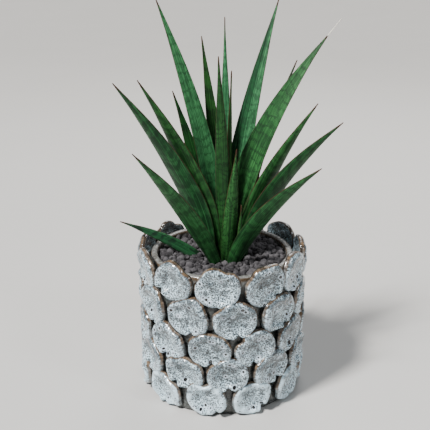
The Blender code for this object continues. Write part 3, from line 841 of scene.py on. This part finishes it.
def clay_scale(shell, level, row, index, rng):
    """One scale of a row: where it sits, its outline and relief, and what the glaze takes its cues from."""
    height, width, tall, start = row
    centre, side, up, face, root = scale_axes(height, start, index, rng)
    outline, features = scale_outline(width, tall, rng)

    # this scale's own shape: set for those in view, by chance for the rest
    number = level * SCALES_PER_ROW + index
    own = random.Random(number * 7 + 1)
    mark = SCALE_MARKS.get((level, index))
    pinholes = [(own.uniform(-0.6, 0.6), own.uniform(-0.6, 0.7), own.uniform(0.5, 1.1)) for _ in range(4)]
    if mark:
        features, pinholes = mark
    else:
        chance = [(own.uniform(0, 360), own.uniform(-0.08, 0.12), own.uniform(14, 24)) for _ in range(3)]
        pinch_at = features[1][0]
        features = [*features, *chance, (pinch_at, 0.10, 11)]
    n = SCALE_AROUND
    turn = 2 * math.pi * np.arange(n) / n
    reach = 0.95 + sum(
        own.uniform(-0.03, 0.03) / k * np.sin(k * turn + own.uniform(0, 6)) for k in (3, 4, 6, 9, 13)
    )
    for at, depth, spread in features:
        away = np.remainder(np.degrees(turn) - at + 180, 360) - 180
        reach -= depth * bell(away, spread)
    outline = outline * reach[:, None]

    # face, edge and back, ring by ring
    steps = np.linspace(0, len(SCALE_SECTION) - 1, SCALE_RINGS)
    section = spline(SCALE_SECTION, steps)
    share, plain, rim = (np.repeat(column[:, None], n, axis=1) for column in section.T)
    front = plain > -0.5
    at = outline[None] * share[..., None]
    lift = scale_relief(at, share, plain, outline, features, width, tall, own)

    drop = at[..., 0] ** 2 / (2 * SCALE_CENTRE_RADIUS) + at[..., 1] ** 2 / (2 * SCALE_BEND)
    points = centre + at[..., :1] * side + at[..., 1:] * up + (lift * MM - drop)[..., None] * face
    points = points.reshape(-1, 3)
    points[:, 2] = np.maximum(points[:, 2], SCALE_LOWEST)
    flat = np.column_stack([at.reshape(-1, 2) + [number * 0.11, 0], np.zeros(len(points))])

    # the nearest pinhole to each point
    places = np.array([(x * width / 2, y * tall / 2) for x, y, _ in pinholes]) / MM
    gaps = at.reshape(-1, 1, 2) / MM - places
    reaches = np.linalg.norm(gaps, axis=2)
    nearest = reaches.argmin(axis=1)
    rows = np.arange(len(points))
    pin = np.column_stack([gaps[rows, nearest], np.array([r for *_, r in pinholes])[nearest]])
    near = np.where(front.reshape(-1), reaches[rows, nearest], 20.0)

    points = np.vstack([points, points[:n].mean(axis=0), root])
    lowest = level == len(SCALE_ROWS)
    shell.add(
        points,
        tube_faces(len(section), n),
        glaze=np.vstack([flat, flat[[0, -1]]]),
        pin=np.vstack([pin, pin[[0, -1]]]),
        near=np.concatenate([near, [near[0], 20.0]]),
        rim=np.concatenate([rim.reshape(-1), [0.0, 0.5]]),
        high=np.concatenate([at[..., 1].reshape(-1) / tall * 2, [0.0, 0.0]]),
        white=np.full(len(points), own.uniform(0.45, 0.68) + (0.22 if lowest else 0.0)),
        dense=np.full(len(points), own.uniform(0.60, 0.85) - (0.52 if lowest else 0.0)),
    )


def make_scales():
    finish = glaze_finish()
    rng = random.Random(SCALE_SEED)
    for level, row in enumerate(SCALE_ROWS, start=1):
        shell = Shell()
        for index in range(SCALES_PER_ROW):
            clay_scale(shell, level, row, index, rng)
        shell.build(f"pot_scales_{level}", finish, "glazed_stoneware", "pot")


def make_wall():
    """The turned wall with its rounded lip, uneven as hand-made clay is."""
    middle = (RIM_OUTER_RADIUS + RIM_INNER_RADIUS) / 2
    half = (RIM_OUTER_RADIUS - RIM_INNER_RADIUS) / 2
    lip = []
    for i in range(9):  # over the lip, from outside to inside
        t = math.pi * i / 8
        lip.append((middle + half * math.cos(t), RIM_HEIGHT - LIP_ROUND + LIP_ROUND * math.sin(t)))
    profile = [(0.073, 0.0), (0.0755, 0.001), (WALL_OUTER_RADIUS, 0.004)]
    profile += [(WALL_OUTER_RADIUS, 0.004 + 0.104 * i / 26) for i in range(1, 27)]
    profile += [(0.0752, 0.113), (0.0735, 0.119), (0.0718, 0.124)]
    profile += [(RIM_OUTER_RADIUS, 0.129), (RIM_OUTER_RADIUS, 0.134)]
    profile += lip
    profile += [(RIM_INNER_RADIUS, h) for h in (0.136, 0.131, 0.12, 0.09, 0.05, 0.015)]
    profile += [(0.062, 0.0105), (0.058, FLOOR_THICKNESS)]
    points, edge = [], []
    for radius, height in profile:
        for i in range(WALL_SIDES):
            out = compass(360.0 * i / WALL_SIDES)
            point = out * radius + Vector((0, 0, height))
            if height > 0.003 and radius > 0.063:
                swell = noise.noise(point / 0.022) * 0.0006 + noise.noise(point / 0.007) * 0.0002
                if height < 0.128:
                    swell = -abs(swell)
                point += out * swell
            points.append(point)
            on_lip = height > RIM_HEIGHT - LIP_ROUND - 0.0002
            away = min(abs(radius - RIM_OUTER_RADIUS), abs(radius - RIM_INNER_RADIUS))
            edge.append(max(0.0, 1 - away / LIP_ROUND) if on_lip else 0.25)
    points += [Vector((0, 0, 0)), Vector((0, 0, FLOOR_THICKNESS))]
    shell = Shell()
    shell.add(points, tube_faces(len(profile), WALL_SIDES), edge=edge + [0.0, 0.0])
    shell.build("pot_wall", wall_finish(), "glazed_stoneware", "pot")


# ---------------------------------------------------------------- soil


def footprints(nodes):
    """Where the leaves pass through the top of the soil, as (centre, radius) discs in plan."""
    discs = []
    for number in range(1, LEAF_COUNT + 1):
        middle, across, _, width, _, thick, _ = leaf_frames(nodes[f"leaf_{number:02d}"])
        for share in np.linspace(0, 1, 60):
            at = [share * (len(middle) - 1)]
            centre = spline(middle, at)[0]
            if SOIL_TOP - 0.003 < centre[2] < SOIL_TOP + 0.006:
                half, axis = spline(width, at)[0], unit(spline(across, at)[0])
                for step in (-0.8, -0.4, 0, 0.4, 0.8):
                    discs.append((centre + axis * half * step, 0.0026))
    return discs


def crumb_shape(level):
    bm = bmesh.new()
    bmesh.ops.create_icosphere(bm, subdivisions=level, radius=1.0)
    points = np.array([vert.co[:] for vert in bm.verts])
    faces = [tuple(vert.index for vert in face.verts) for face in bm.faces]
    bm.free()
    return points, faces


def crumb(shell, shape, centre, size, rng):
    """One crumb: a ball made knobbly, a little flat, and turned any way."""
    points, faces = shape
    shift = Vector([rng.uniform(0, 90) for _ in range(3)])
    knobs = []
    for p in points:
        large, small = noise.noise(Vector(p) * 1.3 + shift), noise.noise(Vector(p) * 3.2 + shift)
        knobs.append(large * 0.35 + small * 0.28)
    turn = Vector([rng.uniform(-1, 1) for _ in range(3)]).to_track_quat("Z", "Y").to_matrix()
    flat = np.array([rng.uniform(0.8, 1.15), rng.uniform(0.8, 1.15), rng.uniform(0.75, 1.0)])
    placed = (points * (1 + np.array(knobs))[:, None] * flat) @ np.array(turn) * size / 2 + np.array(centre)
    shell.add(placed, faces, tone=np.full(len(points), rng.uniform(0, 1)))


def scatter(rng, discs, radius, apart, least, most):
    """(place, size) of crumbs thrown on the soil, clear of the leaves and nearly clear of each other."""
    found = []
    for _ in range(CRUMB_TRIES):
        size = rng.uniform(least, most)
        spread = math.sqrt(rng.random()) * (radius - size / 2)
        at = compass(rng.uniform(0, 360)) * spread
        near = apart * size / 2
        if any((at.x - c.x) ** 2 + (at.y - c.y) ** 2 < (near + wide * apart / 2) ** 2 for c, wide in found):
            continue
        if any((at.x - c[0]) ** 2 + (at.y - c[1]) ** 2 < (size / 2 + r) ** 2 for c, r in discs):
            continue
        found.append((at, size))
    return found


def make_soil(nodes):
    finish = soil_finish()
    rng = random.Random(SOIL_SEED)
    discs = footprints(nodes)
    # the bed under the crumbs
    radius, bottom, top = RIM_INNER_RADIUS - 0.0004, FLOOR_THICKNESS + 0.0005, SOIL_TOP - 0.0012
    rows = [(radius - 0.006, bottom)]
    rows += [(radius, height) for height in (0.016, 0.06, 0.12, SOIL_TOP - 0.002)]
    rows += [(radius * (1 - k / BED_RINGS), top) for k in range(1, BED_RINGS)]
    points = []
    for r, height in rows:
        for i in range(BED_SIDES):
            point = compass(360.0 * i / BED_SIDES) * r + Vector((0, 0, height))
            if height > 0.125 and r < radius - 0.001:
                point.z += noise.noise(point / 0.004) * 0.0012 + noise.noise(point / 0.0018) * 0.0005
            points.append(point)
    points += [Vector((0, 0, bottom)), Vector((0, 0, top))]
    bed = Shell()
    bed.add(points, tube_faces(len(rows), BED_SIDES), tone=np.full(len(points), 0.0))
    bed.build("soil_bed", finish, "soil", "soil")

    # crumbs on it: shape, sizes, how close they lie, and how low and high over the soil's top
    inside = RIM_INNER_RADIUS - 0.0006
    for name, shape, sizes, apart, low, high in (
        ("soil_crumbs", crumb_shape(2), (0.0062, 0.0086), 0.84, -0.0014, 0.0018),
        ("soil_small_crumbs", crumb_shape(2), (0.0040, 0.0056), 0.95, -0.0016, 0.0006),
        ("soil_grit", crumb_shape(1), (0.0018, 0.0032), 0.98, -0.0020, -0.0004),
    ):
        crumbs = Shell()
        for at, size in scatter(rng, discs, inside, apart, *sizes):
            crumb(crumbs, shape, at + Vector((0, 0, SOIL_TOP + rng.uniform(low, high))), size, rng)
        crumbs.build(name, finish, "soil", "soil")


# ---------------------------------------------------------------- stage


def place_lamp(name, data, place, direction):
    lamp = bpy.data.objects.new(name, data)
    lamp.location = place
    lamp.rotation_euler = Vector(direction).to_track_quat("-Z", "Y").to_euler()
    bpy.context.scene.collection.objects.link(lamp)


def make_floor():
    bm = bmesh.new()
    bmesh.ops.create_grid(bm, x_segments=1, y_segments=1, size=FLOOR_HALF)
    mesh = bpy.data.meshes.new("floor")
    bm.to_mesh(mesh)
    bm.free()
    mesh.materials.append(floor_finish())
    floor = bpy.data.objects.new("floor", mesh)
    bpy.context.scene.collection.objects.link(floor)


def make_world():
    world = bpy.data.worlds.new("soft_room")
    world.use_nodes = True
    nodes, links = world.node_tree.nodes, world.node_tree.links
    background = nodes["Background"]
    background.inputs["Color"].default_value = (0.90, 0.94, 1.0, 1.0)
    split, height = nodes.new("ShaderNodeSeparateXYZ"), nodes.new("ShaderNodeMapRange")
    links.new(nodes.new("ShaderNodeTexCoord").outputs["Generated"], split.inputs[0])
    links.new(split.outputs["Z"], height.inputs["Value"])
    ends = {"From Min": 0.0, "From Max": ROOM_RISE, "To Min": ROOM_LOW, "To Max": ROOM_HIGH}
    for name, value in ends.items():
        height.inputs[name].default_value = value
    links.new(height.outputs["Result"], background.inputs["Strength"])
    bpy.context.scene.world = world


def make_lights():
    data = bpy.data.lights.new("sky", "SUN")
    data.energy, width, direction, data.color = SUN
    data.angle = math.radians(width)
    place_lamp("sky", data, (0.0, 0.0, 0.0), direction)
    for name, (place, size, power, colour) in LAMPS.items():
        data = bpy.data.lights.new(name, "AREA")
        data.shape, data.size, data.energy, data.color = "DISK", size, power, colour
        place_lamp(name, data, place, LIT_MIDDLE - Vector(place))


def make_camera():
    data = bpy.data.cameras.new("camera")
    data.lens, data.sensor_width = VIEW_LENS, VIEW_SENSOR
    data.clip_start, data.clip_end = 0.05, 60.0
    camera = bpy.data.objects.new("camera", data)
    down = math.radians(VIEW_DOWN)
    camera.location = VIEW_MIDDLE + Vector((0.0, -math.cos(down), math.sin(down))) * VIEW_DISTANCE
    camera.rotation_euler = (math.pi / 2 - down, 0.0, 0.0)
    bpy.context.scene.collection.objects.link(camera)
    bpy.context.scene.camera = camera


def main():
    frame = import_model()
    nodes = frame["nodes"]
    make_leaves(nodes)
    make_wall()
    make_scales()
    make_soil(nodes)
    nodes["rhizome"].data.materials.clear()
    nodes["rhizome"].data.materials.append(rhizome_finish())
    make_floor()
    make_world()
    make_lights()
    make_camera()


main()
